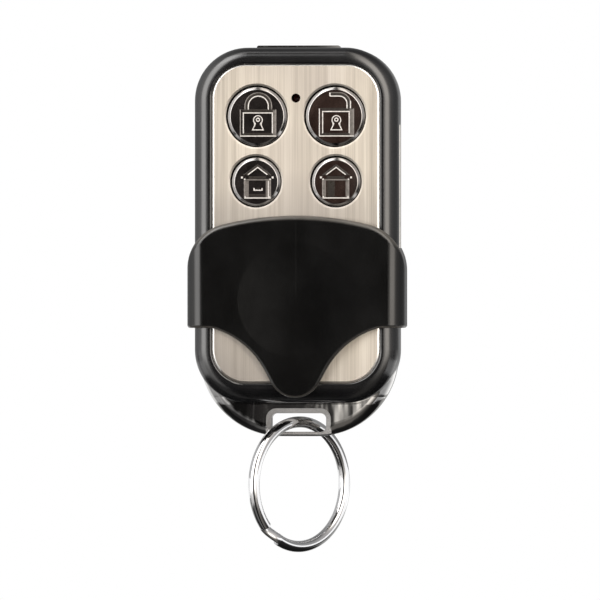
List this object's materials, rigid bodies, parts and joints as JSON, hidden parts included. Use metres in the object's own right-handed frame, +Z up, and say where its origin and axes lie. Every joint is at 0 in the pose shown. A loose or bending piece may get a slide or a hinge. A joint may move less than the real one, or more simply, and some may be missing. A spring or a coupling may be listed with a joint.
{
  "type": "key fob",
  "caption": "Alarm key fob with round push buttons on a brushed plate, a black sliding cover that closes over them and a split key ring through the lower end.",
  "frame": {"origin": "centre of the flat back face of the rear shell, half way up the body", "axes": "+Z up the length of the fob towards the lock buttons, +X to the right seen from the button side, +Y out of the back face; the buttons face -Y"},
  "size_m": [0.0348, 0.0187, 0.0813],
  "materials": {
    "chrome_shell": "mirror-plated plastic, smooth",
    "frame_black": "black satin, soft-touch",
    "steel_plate": "brushed along the length, warm silver",
    "film": "translucent double-sided film",
    "cover_black": "black, fine moulded texture",
    "button_smoke": "dark smoked mirror plating",
    "switch_black": "black moulded",
    "switch_metal": "tinned",
    "board_green": "green solder mask",
    "copper": "tinned copper",
    "led_clear": "tinted clear dome",
    "chip_black": "moulded epoxy",
    "resonator_can": "drawn can",
    "ceramic_blue": "glazed body",
    "chip_tan": "fired body, tinned ends",
    "battery_wrap": "shrink sleeve",
    "contact_nickel": "nickel-plated spring strip",
    "screw_steel": "zinc-plated",
    "ring_steel": "polished nickel plating"
  },
  "bodies": {
    "housing": {"rear_shell": "chrome_shell", "front_frame": "frame_black", "face_plate": "steel_plate", "plate_adhesive_film": "film", "circuit_board": "board_green", "loop_antenna": "copper", "indicator_led": "led_clear", "encoder_chip": "chip_black", "encoder_pins": "contact_nickel", "saw_resonator": "resonator_can", "rf_transistor": "chip_black", "trimmer_capacitor": "ceramic_blue", "chip_resistors": "chip_black", "chip_capacitors": "chip_tan", "battery": "battery_wrap", "positive_contact": "contact_nickel", "negative_contact": "contact_nickel", "battery_contact_spring": "contact_nickel", "housing_screws": "screw_steel", "switch_terminals": "switch_metal", "lock_switch": "switch_metal", "unlock_switch": "switch_metal", "arm_home_switch": "switch_metal", "aux_home_switch": "switch_metal"},
    "cover": {"slide_cover": "cover_black"},
    "ring": {"key_ring": "ring_steel"},
    "lock": {"lock_button": "button_smoke", "lock_switch_plunger": "switch_black"},
    "unlock": {"unlock_button": "button_smoke", "unlock_switch_plunger": "switch_black"},
    "arm_home": {"arm_home_button": "button_smoke", "arm_home_switch_plunger": "switch_black"},
    "aux_home": {"aux_home_button": "button_smoke", "aux_home_switch_plunger": "switch_black"}
  },
  "joints": [
    {"name": "cover_slide", "type": "slide", "parent": "housing", "child": "cover", "axis": [0, 0, 1], "range_m": [0, 0.023]},
    {"name": "ring_turn", "type": "hinge", "parent": "housing", "child": "ring", "pos_m": [0, -0.0031, -0.039], "axis": [0, 0, 1], "range_deg": [-6, 91]},
    {"name": "lock_press", "type": "slide", "parent": "housing", "child": "lock", "axis": [0, 1, 0], "range_m": [0, 0.0003], "stiffness_N_per_m": 2500},
    {"name": "unlock_press", "type": "slide", "parent": "housing", "child": "unlock", "axis": [0, 1, 0], "range_m": [0, 0.0003], "stiffness_N_per_m": 2500},
    {"name": "arm_home_press", "type": "slide", "parent": "housing", "child": "arm_home", "axis": [0, 1, 0], "range_m": [0, 0.0003], "stiffness_N_per_m": 2500},
    {"name": "aux_home_press", "type": "slide", "parent": "housing", "child": "aux_home", "axis": [0, 1, 0], "range_m": [0, 0.0003], "stiffness_N_per_m": 2500}
  ]
}
